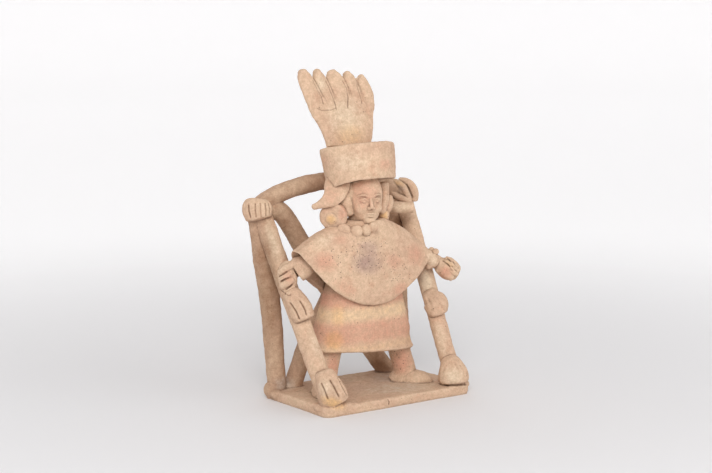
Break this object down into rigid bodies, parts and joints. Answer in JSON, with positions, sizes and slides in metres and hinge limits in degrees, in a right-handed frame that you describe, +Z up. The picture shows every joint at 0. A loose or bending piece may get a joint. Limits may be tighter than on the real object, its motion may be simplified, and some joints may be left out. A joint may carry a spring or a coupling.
{
  "type": "hand-modelled clay figure in a coil frame",
  "caption": "Fired clay standing figure with a feather-fan hat, cape and skirt, held in a frame of clay coils on a low slab.",
  "frame": {"origin": "middle of the slab's flat underside", "axes": "+Z up, the figure faces -Y, +X is towards the arm that reaches past its post"},
  "size_m": [0.2148, 0.125, 0.3254],
  "materials": {
    "fired_clay": "matt, unglazed, worn"
  },
  "bodies": {
    "root": {"clay_figure": "fired_clay"}
  },
  "joints": []
}
